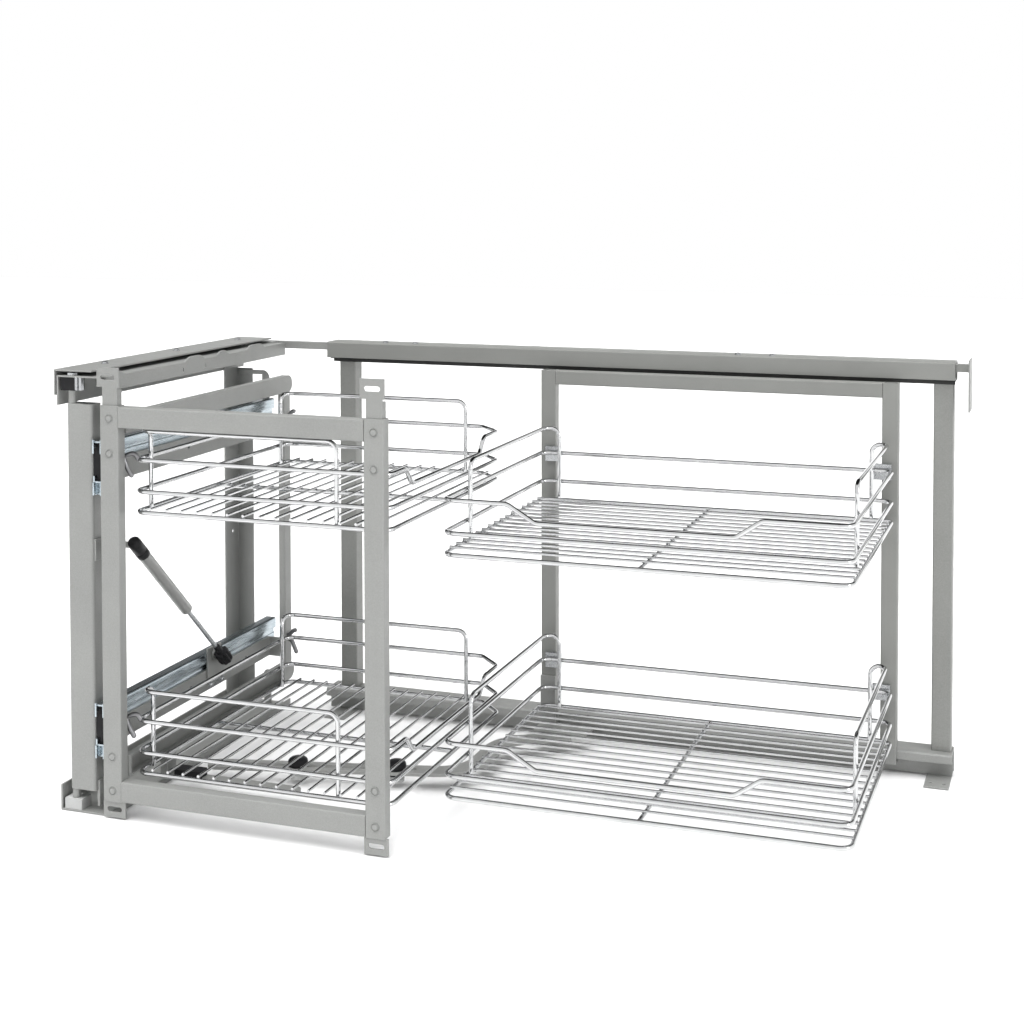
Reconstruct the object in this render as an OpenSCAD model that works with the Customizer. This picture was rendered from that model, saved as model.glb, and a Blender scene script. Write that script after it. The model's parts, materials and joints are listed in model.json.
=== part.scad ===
// Blind corner pull out: a swinging front pull-out unit with two wire baskets
// and a hanging rear carriage with two wider baskets, on a fixed floor and rail frame.
// Millimetres, +Z up, the front is towards -Y.

/* [Front frame] */
// Width of the front frame over its stiles
frame_w = 369; // [330:1:420]
// Underside of the front frame above the floor
frame_z0 = 21; // [18:1:40]
// Top of the front frame above the floor
frame_z1 = 495; // [480:1:500]
// Width of the stiles and height of the rails
stile_w = 25; // [20:1:30]
// Depth of the stile tubes
stile_d = 15; // [12:1:16]
// Wall of the tubes
tube_t = 2; // [1.5:0.1:2.5]
// Outer edge radius of the tubes
edge_r = 1.8; // [1:0.1:1.8]

/* [Wire baskets] */
// Radius of the basket frame wires
rim_r = 2.75; // [2:0.05:3]
// Radius of the thin floor wires
mesh_r = 1.7; // [1.2:0.05:2]
// Height of the top hoops above the floor wire
hoop_h = 97; // [90:1:105]
// Height of the second wire above the floor wire
second_h = 63; // [58:1:68]
// Height of the third wire above the floor wire
third_h = 25; // [22:1:28]
// Depth of the access dip in the second wire
dip_h = 20; // [12:1:24]
// Bend radius of the basket corners
corner_r = 14; // [10:1:18]

/* [Front baskets] */
// Left side of the front baskets
fb_x0 = 22; // [20:0.5:26]
// Gap from the front baskets to the right edge of the front frame
fb_gap = 3; // [3:0.5:20]
// Front side of the front baskets
fb_y0 = 20; // [18.5:0.5:30]
// Back side of the front baskets
fb_y1 = 390; // [350:1:392]
// Floor wire height of the lower front basket
fb_low = 52; // [50:1:70]
// Floor wire height of the upper front basket
fb_up = 366; // [340:1:380]

/* [Rear baskets] */
// Gap from the front frame to the rear baskets
rear_gap = 44; // [44:1:60]
// Width of the rear baskets
rb_w = 467; // [400:1:469]
// Front side of the rear baskets
rb_y0 = 64; // [50:1:100]
// Back side of the rear baskets
rb_y1 = 406; // [380:1:408]
// Floor wire height of the lower rear basket
rb_low = 52; // [46:1:70]
// Floor wire height of the upper rear basket
rb_up = 333; // [300:1:360]

/* [Fixed frame] */
// Left side of the floor channel and the top channel
chan_x0 = -76; // [-80:0.5:-74]
// Right side of the floor channel
chan_x1 = -2; // [-12:0.5:0]
// Left end of the rear rails
rail_x0 = 62; // [50:1:76]
// Right end of the rear rails
rail_x1 = 941; // [941:1:1000]
// Front face of the rear top rail
rail_y = 439; // [439:1:445]
// Top of the rear top rail
rail_z = 532; // [531:0.5:535]
// Thickness of the sheet parts
sheet = 2; // [1.5:0.1:2.5]

/* [Pivot and slides] */
// Pivot axis, sideways
piv_x = -59; // [-60:0.5:-57]
// Pivot axis, front to back
piv_y = 14; // [13.5:0.5:16]
// Radius of the pivot pins
pin_r = 5; // [4:0.1:6]
// Running clearance of pins in their bores, radial
run_c = 0.05; // [0.02:0.01:0.1]
// Clearance of the slide blocks in the rails
slide_c = 0.3; // [0.2:0.05:0.5]
// Height of the slide rails
srail_h = 50; // [45:1:60]
// Height of the lips of the slide rails
lip_h = 8; // [6:0.5:12]
// Underside of the upper slide rail
srail_up = 401; // [396:1:405]
// Underside of the lower slide rail
srail_low = 84; // [80:1:90]
// Diameter of the gas strut cylinder
strut_d = 15; // [14:0.5:18]

/* [Hidden] */
$fn = 48;
base_cx = -42;
base_cy = 224;
sx0 = -12;
sx1 = sx0 + stile_w;
tx1 = sx0 + frame_w;
tx0 = tx1 - stile_w;
fb_x1 = tx1 - fb_gap;
rb_x0 = tx1 + rear_gap;
rb_x1 = rb_x0 + rb_w;
hang_x0 = rb_x0 - 5;
hang_x1 = rb_x1 + 6;
rail_low = rail_z - 25;
top_z = rail_z - 4;
post_z1 = top_z - 34;
hang_z1 = rail_low - 1;
hang_z0 = hang_z1 - 19;
arm_x0 = 5;
arm_x1 = 15;
web_x = -13;
low_eye = [4, 245, 128.5];
up_eye = [4, 49, 318.5];
strut_v = up_eye - low_eye;
strut_len = norm(strut_v);
strut_tilt = atan2(strut_v[1], strut_v[2]);
strap_z0 = 18;
strap_z1 = 22;
link_start = [rb_x0 - 346, 150];
link_turn = 12.9;
link_dir = [cos(link_turn), sin(link_turn)];
roll_a = link_start + 102.6 * link_dir;
roll_b = link_start + 228.8 * link_dir;

// A block between two corners
module bx(x0, x1, y0, y1, z0, z1) {
  translate([x0, y0, z0])
    cube([x1 - x0, y1 - y0, z1 - z0]);
}

// A cylinder between two points
module rod(p, q, r) {
  d = q - p;
  l = norm(d);
  translate(p)
    rotate([0, acos(d[2] / l), atan2(d[1], d[0])])
      cylinder(h = l, r = r);
}

function unit(v) = v / norm(v);
function turn(a, b, c) = acos(max(-1, min(1, unit(b - a) * unit(c - b))));
// Straight pieces stop a hair short of an oblique bend, which keeps every solid exact
function setback(a, b, c, br) =
  br * tan(turn(a, b, c) / 2) + (abs(turn(a, b, c) - 90) > 0.5 ? 0.02 : 0);

// The bend of a wire at corner b on the way from a to c
module bend(a, b, c, br, r) {
  u = unit(b - a);
  v = unit(c - b);
  phi = turn(a, b, c);
  n = cross(u, v) / sin(phi);
  w = cross(n, u);
  s = b - u * br * tan(phi / 2);
  m = s + w * br;
  steep = abs(w[2]) > 0.9999;
  ry = -asin(max(-1, min(1, -w[2])));
  rx = steep ? (w[2] < 0 ? atan2(-u[0], u[1]) : atan2(u[0], u[1])) : atan2(u[2], n[2]);
  rz = steep ? 0 : atan2(-w[1], -w[0]);
  translate(m)
    rotate([rx, ry, rz])
      rotate_extrude(angle = phi)
        translate([br, 0])
          circle(r = r);
}

// An open wire along points, with round bends
module open_wire(pts, br, r) {
  last = len(pts) - 1;
  for (i = [0 : last - 1]) {
    u = unit(pts[i + 1] - pts[i]);
    t0 = i == 0 ? 0 : setback(pts[i - 1], pts[i], pts[i + 1], br);
    t1 = i == last - 1 ? 0 : setback(pts[i], pts[i + 1], pts[i + 2], br);
    rod(pts[i] + u * t0, pts[i + 1] - u * t1, r);
  }
  for (i = [1 : last - 1])
    bend(pts[i - 1], pts[i], pts[i + 1], br, r);
}

// A closed wire through points, with round bends
module loop_wire(pts, br, r) {
  k = len(pts);
  for (i = [0 : k - 1]) {
    a = pts[(i + k - 1) % k];
    b = pts[i];
    c = pts[(i + 1) % k];
    d = pts[(i + 2) % k];
    u = unit(c - b);
    rod(b + u * setback(a, b, c, br), c - u * setback(b, c, d, br), r);
    bend(a, b, c, br, r);
  }
}

// Outline of a drawn tube, with round outer edges
module tube_outline(w, h, t) {
  difference() {
    union() {
      translate([edge_r, 0])
        square([w - 2 * edge_r, h]);
      translate([0, edge_r])
        square([w, h - 2 * edge_r]);
      for (x = [edge_r, w - edge_r], y = [edge_r, h - edge_r])
        translate([x, y])
          circle(r = edge_r);
    }
    translate([t, t])
      square([w - 2 * t, h - 2 * t]);
  }
}

// A rectangular tube standing along Z
module tube_z(x0, x1, y0, y1, z0, z1, t) {
  translate([x0, y0, z0])
    linear_extrude(height = z1 - z0)
      tube_outline(x1 - x0, y1 - y0, t);
}

// A rectangular tube lying along X
module tube_x(x0, x1, y0, y1, z0, z1, t) {
  translate([x0, y0, z0])
    rotate([90, 0, 90])
      linear_extrude(height = x1 - x0)
        tube_outline(y1 - y0, z1 - z0, t);
}

// A hole along X through the block between x0 and x1
module hole_x(x0, x1, y, z, r) {
  translate([x0, y, z])
    rotate([0, 90, 0])
      cylinder(h = x1 - x0, r = r);
}

// A screw with a round head standing on height z
module screw_head(x, y, z, r, h) {
  translate([x, y, z]) {
    cylinder(h = h, r = r);
    translate([0, 0, h])
      cylinder(h = 1.2, r = r * 0.62);
  }
}

// Fixed floor channel with a tall left flange and a low right flange
module base_channel() {
  color("#9b9c98")
    difference() {
      union() {
        bx(chan_x0, chan_x1, 6, 442, 0, sheet);
        bx(chan_x0, chan_x0 + sheet, 6, 442, 0, 31);
        bx(chan_x1 - sheet, chan_x1, 6, 442, 0, 8);
      }
      for (y = [66, 162, 258, 354])
        hole_x(chan_x0 - 1, chan_x0 + sheet + 1, y, 19, 2.6);
      hole_x(chan_x0 - 1, chan_x0 + sheet + 1, 404, 25, 2.6);
    }
}

module base_pivot_block() {
  color("#d9dbdc")
    difference() {
      bx(piv_x - 12, piv_x + 11.5, piv_y - 7, piv_y + 12, sheet, 15);
      translate([piv_x, piv_y, 5])
        cylinder(h = 20, r = pin_r + run_c);
    }
}

// Fixed outer cover over the top channel
module top_cover() {
  color("#a7a8a4")
    difference() {
      union() {
        bx(chan_x0 - 4, -27, 6, 438, top_z + 5, top_z + 7);
        bx(chan_x0 - 4, chan_x0 - 2, 6, 438, top_z - 24, top_z + 7);
      }
      for (y = [78, 238, 396])
        translate([-58, y, top_z + 2])
          cylinder(h = 10, r = 2.2);
    }
}

// A rounded lug rising from the right web of the top channel
module lug(y0, y1, rise) {
  translate([-8, 0, 0])
    rotate([90, 0, 90])
      linear_extrude(height = 2)
        polygon([[y0 - 12, top_z - 1], [y0 - 4, top_z - 1 + rise * 0.55], [y0, top_z - 1 + rise * 0.9],
          [y0 + 5, top_z - 1 + rise], [y1 - 5, top_z - 1 + rise], [y1, top_z - 1 + rise * 0.9],
          [y1 + 4, top_z - 1 + rise * 0.55], [y1 + 12, top_z - 1]]);
}

module top_channel() {
  color("#a2a39f")
    difference() {
      union() {
        bx(chan_x0, chan_x0 + 2, 6, 440, top_z - 36, top_z);
        bx(chan_x0, -6, 6, 440, top_z - 2, top_z);
        bx(-8, -6, 6, 440, top_z - 17, top_z);
        lug(24, 36, 6);
        lug(186, 214, 7);
        lug(262, 276, 7);
        lug(340, 372, 7);
      }
      for (y = [100, 150, 230, 330])
        hole_x(chan_x0 - 1, chan_x0 + 3, y, top_z - 30, 2.6);
      for (y = [172, 226])
        translate([-9, y - 1, top_z - 12])
          cube([4, 2, 5]);
      translate([piv_x, piv_y, top_z - 8])
        cylinder(h = 12, r = 4.2);
      for (y = [78, 238, 396])
        translate([-58, y, top_z - 8])
          cylinder(h = 10, r = 2.2);
    }
}

module top_pivot_block() {
  color("#1d1e20")
    difference() {
      bx(piv_x - 12, piv_x + 8, piv_y - 7, piv_y + 12, top_z - 18, top_z - 2);
      translate([piv_x, piv_y, top_z - 28])
        cylinder(h = 21, r = pin_r + run_c);
      translate([piv_x, piv_y, top_z - 28])
        cylinder(h = 40, r = 3);
    }
}

// Bolt that holds the top pivot block up in the channel, and the bright clip beside the block
module top_pivot_nut() {
  color("#c6c8cb") {
    bx(piv_x + 8, piv_x + 17, piv_y - 4, piv_y - 2, top_z - 17.5, top_z - 2);
    bx(piv_x + 8, piv_x + 11.5, piv_y - 7, piv_y - 3, top_z - 17.5, top_z - 2);
    bx(piv_x + 13.5, piv_x + 17, piv_y - 7, piv_y - 3, top_z - 17.5, top_z - 2);
    translate([piv_x, piv_y, top_z - 6])
      cylinder(h = 6, r = 2.95);
    translate([piv_x, piv_y, top_z])
      cylinder(h = 3, r = 6.5, $fn = 6);
  }
}

// Angle at the rear corner, between floor channel and top channel
module rear_corner_post() {
  color("#6f706c")
    difference() {
      union() {
        bx(chan_x0 + 2, chan_x0 + 4, 384, 421, 2, top_z - 2);
        bx(chan_x0 + 2, -48, 419, 421, 2, top_z - 36);
      }
      for (z = [25, 90, 257])
        hole_x(chan_x0 + 1, chan_x0 + 5, 404, z, 2.6);
    }
}

module stop_strap_upper() {
  color("#8d8e8a") {
    bx(-68, -31, 417, 419, top_z - 44, top_z - 38);
    intersection() {
      bx(-31, -20, 417, 419, top_z - 49, top_z - 38);
      translate([-31, 420, top_z - 49])
        rotate([90, 0, 0])
          cylinder(h = 4, r = 11);
    }
    bx(-31, -20, 417, 419, top_z - 81, top_z - 49);
    translate([-25.5, 419, top_z - 81])
      rotate([90, 0, 0])
        cylinder(h = 2, r = 5.5);
  }
}

module stop_strap_lower() {
  color("#8d8e8a") {
    bx(-31, -20, 417, 419, 2, 50);
    translate([-25.5, 419, 50])
      rotate([90, 0, 0])
        cylinder(h = 2, r = 5.5);
  }
}

// Channel the rear carriage hangs in, open at the ends and along a slot below
module rear_top_rail() {
  color("#a3a4a0")
    difference() {
      tube_x(rail_x0, rail_x1, rail_y, rail_y + 36, rail_low, rail_z, sheet);
      bx(rail_x0 - 1, rail_x1 + 1, rail_y + 19, rail_y + 29, rail_low - 7, rail_low + 8);
      for (x = [150, 196, 660, 706])
        translate([x, rail_y + 9, rail_z - 7])
          cylinder(h = 10, r = 2.2);
    }
}

// Floor rail on the rear feet, with a lip in front that guides the rear carriage
module rear_bottom_rail() {
  color("#8f908c")
    translate([rail_x0, 0, 0])
      rotate([90, 0, 90])
        linear_extrude(height = rail_x1 - rail_x0)
          polygon([[431.5, 22], [433.5, 22], [433.5, 31], [446, 31], [446, 2], [448, 2], [448, 31],
            [466, 31], [466, 2], [468, 2], [468, 33], [433, 33], [431.5, 31.5]]);
}

module rear_post(x) {
  tube_z(x, x + 25, 445, 466, 33, rail_low, sheet);
}

module rear_post_left() {
  color("#7d7e7a")
    rear_post(79);
}

module rear_post_right() {
  color("#8a8b87")
    rear_post(914);
}

// Foot plate under one end of the floor rail, with two screw holes
module rear_foot(x) {
  difference() {
    bx(x, x + 31, 402, 468, 0, 2);
    for (dx = [7, 24])
      translate([x + dx, 416, -1])
        cylinder(h = 5, r = 2.6);
  }
}

module rear_feet() {
  color("#a3a4a0") {
    rear_foot(73);
    rear_foot(909);
  }
}

// Flat bar from the top channel into the rear top rail
module tie_bar_left() {
  color("#9c9d99")
    difference() {
      union() {
        bx(-66, 215, 443, 453, rail_z - 12, rail_z - 2);
        bx(-66, -20, 428, 453, rail_z - 4, rail_z - 2);
      }
      for (x = [150, 196])
        translate([x, 448, rail_z - 22])
          cylinder(h = 30, r = 2.2);
    }
}

module tie_bar_right() {
  color("#9c9d99")
    difference() {
      bx(640, 958, 443, 453, rail_z - 12, rail_z - 2);
      for (x = [660, 706])
        translate([x, 448, rail_z - 22])
          cylinder(h = 30, r = 2.2);
    }
}

module wall_plate() {
  color("#a3a4a0")
    difference() {
      bx(958, 960, 430, 466, rail_z - 61, rail_z + 4);
      for (z = [rail_z - 50, rail_z - 24])
        hole_x(957, 961, 438, z, 2.6);
    }
}

// Screws of the cover, with spacers under it, and of the rear top rail
module frame_screws() {
  color("#b9bcc0") {
    for (y = [78, 238, 396]) {
      screw_head(-58, y, top_z + 7, 4, 1.8);
      translate([-58, y, top_z])
        cylinder(h = 5, r = 4);
      translate([-58, y, top_z - 6])
        cylinder(h = 13, r = 2.15);
    }
    for (x = [150, 196, 660, 706]) {
      screw_head(x, rail_y + 9, rail_z, 4, 1.8);
      translate([x, rail_y + 9, rail_z - 14])
        cylinder(h = 14, r = 2.15);
    }
  }
}

// Turning post, a tube with rounded edges and a stop plate at its foot
module pivot_post() {
  color("#a9aaa6") {
    bx(-29, -25.5, 12.5, 23.5, 8, 39);
    difference() {
      translate([0, 0, 27])
        linear_extrude(height = post_z1 - 27)
          difference() {
            union() {
              translate([-64, 12])
                square([36, 12]);
              translate([-60, 8])
                square([28, 20]);
              for (x = [-60, -32], y = [12, 24])
                translate([x, y])
                  circle(r = 4);
            }
            translate([-62, 10])
              square([32, 16]);
          }
      bx(-60, -32, 25, 30, 40, post_z1 - 14);
    }
  }
}

// Pivot pins, each with a plug that fills an end of the post
module pivot_pins() {
  color("#b4b7ba") {
    bx(-62, -46, 10, 26, post_z1 - 20, post_z1);
    translate([piv_x, piv_y, post_z1])
      cylinder(h = 26.5, r = pin_r);
    bx(-62, -46, 10, 26, 27, 47);
    translate([piv_x, piv_y, 5.5])
      cylinder(h = 21.5, r = pin_r);
  }
}

// Plastic block on the post that a slide rail runs over
module slide_block(z) {
  bx(-24 + slide_c, web_x - 2 - slide_c, 10, 70, z + 2 + slide_c, z + srail_h - 2 - slide_c);
  bx(-28, -23, 10, 28, z + lip_h + slide_c, z + srail_h - lip_h - slide_c);
}

module slide_block_upper() {
  color("#1d1e20")
    slide_block(srail_up);
}

module slide_block_lower() {
  color("#1d1e20")
    slide_block(srail_low);
}

// Arm on the post with the stud for the upper end of the strut
module strut_bracket_upper() {
  color("#8d8e8a") {
    bx(-28, -26, 10, 60, 306, 332);
    hole_x(-26, -4.3, up_eye[1], up_eye[2], 4);
    hole_x(-26, -22, up_eye[1], up_eye[2], 8);
  }
}

module stile_left() {
  color("#a9aba7")
    tube_z(sx0, sx1, 0, stile_d, frame_z0, frame_z1, tube_t);
}

module stile_right() {
  color("#a9aba7")
    tube_z(tx0, tx1, 0, stile_d, frame_z0, frame_z1, tube_t);
}

// A rail of the front frame between the stiles
module frame_rail(z0, z1) {
  tube_x(sx1, tx0, 0, stile_d, z0, z1, tube_t);
}

module frame_rail_top() {
  color("#a9aba7")
    frame_rail(frame_z1 - stile_w - 1, frame_z1 - 1);
}

module frame_rail_bottom() {
  color("#a9aba7")
    frame_rail(frame_z0, frame_z0 + stile_w);
}

// Slotted plate for the door, with a tongue inside the end of a stile
module door_bracket(x, low, move) {
  za = low ? 1.5 : 517;
  zb = low ? frame_z0 : 540;
  difference() {
    union() {
      bx(x + move - 15, x + move + 15, tube_t, 4, za, zb);
      bx(x - 10, x + 10, tube_t, 4, low ? frame_z0 - 1 : frame_z1 - 20, low ? frame_z0 + 20 : 518);
      bx(x + 8, x + 10, 3, 12, low ? frame_z0 + 2 : frame_z1 - 20, low ? frame_z0 + 20 : 514);
    }
    bx(x + move - 7, x + move + 7, 0, 6, (za + zb) / 2 - 3, (za + zb) / 2 + 3);
    for (s = [-7, 7])
      translate([x + move + s, 8, (za + zb) / 2])
        rotate([90, 0, 0])
          cylinder(h = 8, r = 3);
  }
}

module door_bracket_upper_left() {
  color("#b3b4b0")
    door_bracket((sx0 + sx1) / 2, false, -2.5);
}

module door_bracket_upper_right() {
  color("#b3b4b0")
    door_bracket((tx0 + tx1) / 2, false, -2.5);
}

module door_bracket_lower_left() {
  color("#b3b4b0")
    door_bracket((sx0 + sx1) / 2, true, 1.5);
}

module door_bracket_lower_right() {
  color("#b3b4b0")
    door_bracket((tx0 + tx1) / 2, true, 0.5);
}

module frame_rivets() {
  color("#9fa19d")
    for (x = [(sx0 + sx1) / 2, (tx0 + tx1) / 2], z = [34, 75, 438, 480])
      translate([x, 0, z])
        rotate([90, 0, 0])
          cylinder(h = 0.9, r = 4);
}

// Side arm of the carriage, a bar with a rounded rear end
module side_arm(z0, z1) {
  bx(arm_x0, arm_x1, stile_d, 410, z0, z1);
  translate([arm_x0, 410, (z0 + z1) / 2])
    rotate([0, 90, 0])
      cylinder(h = arm_x1 - arm_x0, r = (z1 - z0) / 2);
}

module arm_upper() {
  color("#a5a6a2")
    difference() {
      side_arm(461, 485);
      bx(arm_x0 - 1, arm_x1 - 2, stile_d + 4, 396, 463, 483);
    }
}

module arm_lower() {
  color("#9fa09c")
    difference() {
      side_arm(48, 73);
      bx(arm_x0 + 2, arm_x1 + 1, stile_d + 4, 394, 50, 71);
    }
}

module rear_upright() {
  color("#9b9c98")
    tube_z(arm_x0, arm_x1, 397, 416, 73, 461, tube_t);
}

// Zinc slide rail, a C section that runs over a slide block, with a clip above and below its front end
module slide_rail(z) {
  difference() {
    bx(-26, web_x, 6, 415, z, z + srail_h);
    bx(-24, web_x - 2, 5, 416, z + 2, z + srail_h - 2);
    bx(-27, -23, 5, 416, z + lip_h, z + srail_h - lip_h);
  }
  bx(-26, web_x, 4, 6.5, z - 15, z + 1);
  bx(-26, web_x, 4, 6.5, z + srail_h - 15, z + srail_h + 2);
}

module slide_rail_upper() {
  color("#aab4b8")
    slide_rail(srail_up);
}

module slide_rail_lower() {
  color("#aab4b8")
    slide_rail(srail_low);
}

// Plate that carries a slide rail between the stile and the rear upright
module carrier_plate(z) {
  difference() {
    union() {
      bx(web_x, web_x + 3, stile_d, 397, z, z + 27);
      bx(web_x, 12, 395, 397, z, z + 27);
      bx(web_x, 5, stile_d, stile_d + 2, z, z + 27);
    }
    for (y = [190, 330])
      hole_x(web_x - 1, web_x + 4, y, z + 15, 2.6);
  }
}

module carrier_plate_upper() {
  color("#a5a6a2")
    carrier_plate(srail_up);
}

module carrier_plate_lower() {
  color("#a5a6a2")
    carrier_plate(srail_low);
}

module strut_bracket_lower() {
  color("#8d8e8a") {
    bx(web_x + 3, web_x + 5, 228, 262, 96, 140);
    hole_x(web_x + 5, 11, low_eye[1], low_eye[2], 4);
    hole_x(web_x + 5, -5.2, low_eye[1], low_eye[2], 7);
  }
}

// Small hooks that hold the front baskets on the stile and the rear upright
module front_basket_hooks() {
  color("#b9bcc0")
    for (z = [fb_low, fb_up]) {
      bx(arm_x1, fb_x0 - rim_r - 0.05, 366, 412, z + second_h - 6, z + second_h + 6);
      bx(arm_x1, fb_x0 - rim_r - 0.05, 400, 412, z + second_h - 24, z + second_h + 6);
      bx(5, 46, stile_d, fb_y0 - rim_r - 0.05, z + second_h - 6, z + second_h + 6);
      rod([9, fb_y0 - 1, z + second_h], [16, fb_y0 - 1, z + second_h - 19], 2.2);
      rod([17, 405, z + second_h - 8], [28.5, 405, z + second_h + 1], 2.2);
      rod([17, 405, z + second_h - 8], [28.5, 405, z + second_h - 24], 2.2);
    }
}

// Front basket: access dip on the right side, hoops along front and back
module front_basket(z) {
  xa = fb_x0;
  xb = fb_x1;
  ya = fb_y0;
  yb = fb_y1;
  cut = 34;
  s = z + second_h;
  e = s - dip_h;
  corner = [[xa, ya], [xb, ya], [xb, yb - cut], [xb - cut, yb], [xa, yb]];
  loop_wire([for (p = corner) [p[0], p[1], z]], corner_r, rim_r);
  loop_wire([for (p = corner) [p[0], p[1], z + third_h]], corner_r, rim_r);
  loop_wire([[xa, ya, s], [xb, ya, s], [xb, ya + 46, s], [xb, ya + 62, e], [xb, yb - cut - 62, e],
    [xb, yb - cut - 46, s], [xb, yb - cut, s], [xb - cut, yb, s], [xa, yb, s]], corner_r, rim_r);
  o = 2 * rim_r + 0.06;
  open_wire([[xa + o, ya + 26, z], [xa + o, ya + 26, z + hoop_h], [xa + o, ya + o, z + hoop_h],
    [xb - 68, ya + o, z + hoop_h], [xb - 68, ya + o, z]], corner_r - 2, rim_r);
  open_wire([[xa + o, yb - 26, z], [xa + o, yb - 26, z + hoop_h], [xa + o, yb - o, z + hoop_h],
    [xb - 56, yb - o, z + hoop_h], [xb - 56, yb - o, z]], corner_r - 2, rim_r);
  rod([xa + rim_r + 0.06, 204, z], [xb - rim_r - 0.06, 204, z], rim_r);
  h = z + rim_r + mesh_r + 0.06;
  for (i = [1 : 15])
    rod([xa + i * (xb - xa) / 16, ya, h],
      [xa + i * (xb - xa) / 16, i > 14 ? yb - 13 : yb, h], mesh_r);
}

module front_basket_upper() {
  color("#c9cccf")
    front_basket(fb_up);
}

module front_basket_lower() {
  color("#c9cccf")
    front_basket(fb_low);
}

// Bar under the lower arm that meets the link of the rear carriage
module catch_arm() {
  color("#8d8e8a") {
    bx(arm_x0, arm_x1, 95, 115, 16, 48);
    bx(arm_x1, 184, 95, 115, 16, 20);
    translate([184, 105, 16])
      cylinder(h = 4, r = 10);
  }
}

module catch_buffer() {
  color("#1d1e20")
    bx(24, 60, 96, 114, 20, 29);
}

// Frame of the strut: its axis runs along Z from the lower eye
module strut_frame() {
  translate(low_eye)
    rotate([-strut_tilt, 0, 0])
      children();
}

module strut_rod() {
  color("#c9cccf")
    strut_frame()
      translate([0, 0, 24])
        cylinder(h = 131, r = 3);
}

// Black end fitting with the eye for a stud
module strut_end(x0, x1, z) {
  difference() {
    union() {
      hole_x(x0, x1, 0, z, z == 0 ? 12.5 : 11);
      translate([0, 0, z == 0 ? 0 : z - 22])
        cylinder(h = z == 0 ? 24 : 22, r = 6.5);
    }
    if (z == 0)
      hole_x(x0 - 3, x1 + 3, 0, 0, 4 + run_c);
  }
}

module strut_rod_end() {
  color("#1d1e20")
    strut_frame()
      strut_end(-9, 7, 0);
}

module strut_cylinder() {
  color("#8a8b88")
    strut_frame()
      difference() {
        translate([0, 0, 120])
          cylinder(h = strut_len - 22 - 120, r = strut_d / 2);
        translate([0, 0, 119])
          cylinder(h = 122, r = 3 + run_c);
      }
}

module strut_cylinder_end() {
  color("#1d1e20")
    strut_frame()
      strut_end(-8, 9, strut_len);
}

// Bar that joins the hanging posts of the rear carriage
module hanger_rail() {
  color("#a9aaa6")
    tube_x(hang_x0 + 21, hang_x1 - 21, 414, 429, hang_z0, hang_z1, tube_t);
}

module hanger_posts() {
  color("#a5a6a2")
    for (x = [hang_x0, hang_x1 - 21])
      tube_z(x, x + 21, 414, 429, 40, hang_z1, tube_t);
}

// Cranked plates from the hanger rail up through the slot of the top rail
module hanger_brackets() {
  color("#8d8e8a")
    for (x = [hang_x0 + 9, hang_x1 - 54]) {
      bx(x, x + 44, 429, 466, rail_low - 11, rail_low - 8);
      bx(x, x + 44, 461, 466, rail_low - 8, rail_low + 2);
      bx(x, x + 44, 429, 431, hang_z0 + 1, rail_low - 11);
    }
}

module hanger_glides() {
  color("#1d1e20")
    for (x = [hang_x0 + 9, hang_x1 - 54])
      bx(x - 6, x + 50, 455, 472.5, rail_low + 2, rail_low + 10);
}

// Guide pads at the lower ends of the hanging posts
module lower_guides() {
  color("#8d8e8a")
    for (x = [hang_x0 + 2, hang_x1 - 19]) {
      bx(x, x + 17, 429, 431, 15, 70);
      bx(x, x + 17, 431, 441, 15, 18);
    }
}

module rear_basket_hooks() {
  color("#b9bcc0")
    for (x = [hang_x0 + 8, hang_x1 - 30], z = [rb_low, rb_up])
      bx(x, x + 22, rb_y1 + rim_r + 0.05, 414, z + second_h - 12, z + second_h + 8);
}

// Rear basket: access dip at the front, hoops along both sides
module rear_basket(z) {
  xa = rb_x0;
  xb = rb_x1;
  ya = rb_y0;
  yb = rb_y1;
  s = z + second_h;
  e = s - dip_h;
  corner = [[xa, ya], [xb, ya], [xb, yb], [xa, yb]];
  loop_wire([for (p = corner) [p[0], p[1], z]], corner_r, rim_r);
  loop_wire([for (p = corner) [p[0], p[1], z + third_h]], corner_r, rim_r);
  loop_wire([[xa, ya, s], [xa + 78, ya, s], [xa + 112, ya, e], [xb - 126, ya, e],
    [xb - 96, ya, s], [xb, ya, s], [xb, yb, s], [xa, yb, s]], corner_r, rim_r);
  o = 2 * rim_r + 0.06;
  for (side = [0, 1]) {
    xo = side == 0 ? xa + o : xb - o;
    xr = side == 0 ? xa + 26 : xb - 26;
    open_wire([[xr, yb - o, z], [xr, yb - o, z + hoop_h], [xo, yb - o, z + hoop_h],
      [xo, ya + 70, z + hoop_h], [xo, ya + 70, z]], corner_r - 2, rim_r);
  }
  rod([xa + 233, ya + rim_r + 0.06, z], [xa + 233, yb - rim_r - 0.06, z], rim_r);
  h = z + rim_r + mesh_r + 0.06;
  for (i = [1 : 16])
    rod([xa, ya + i * (yb - ya) / 17, h], [xb, ya + i * (yb - ya) / 17, h], mesh_r);
}

module rear_basket_upper() {
  color("#c9cccf")
    rear_basket(rb_up);
}

module rear_basket_lower() {
  color("#c9cccf")
    rear_basket(rb_low);
}

// Middle line of the strap: straight, a bend to the back, a bend to the right
link_path = concat([link_start],
  [for (i = [0 : 10]) [rb_x0 - 88.3, 265.5] + 55 * [cos(-77.1 + 7.71 * i), sin(-77.1 + 7.71 * i)]],
  [for (i = [0 : 8]) [rb_x0 + 16.7, 310] + 50 * [cos(180 - 7.5 * i), sin(180 - 7.5 * i)]],
  [[rb_x0 + 45.4, 384.3]]);
function link_side(i) =
  let (d = unit(link_path[min(i + 1, len(link_path) - 1)] - link_path[max(i - 1, 0)])) [-d[1], d[0]];

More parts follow.
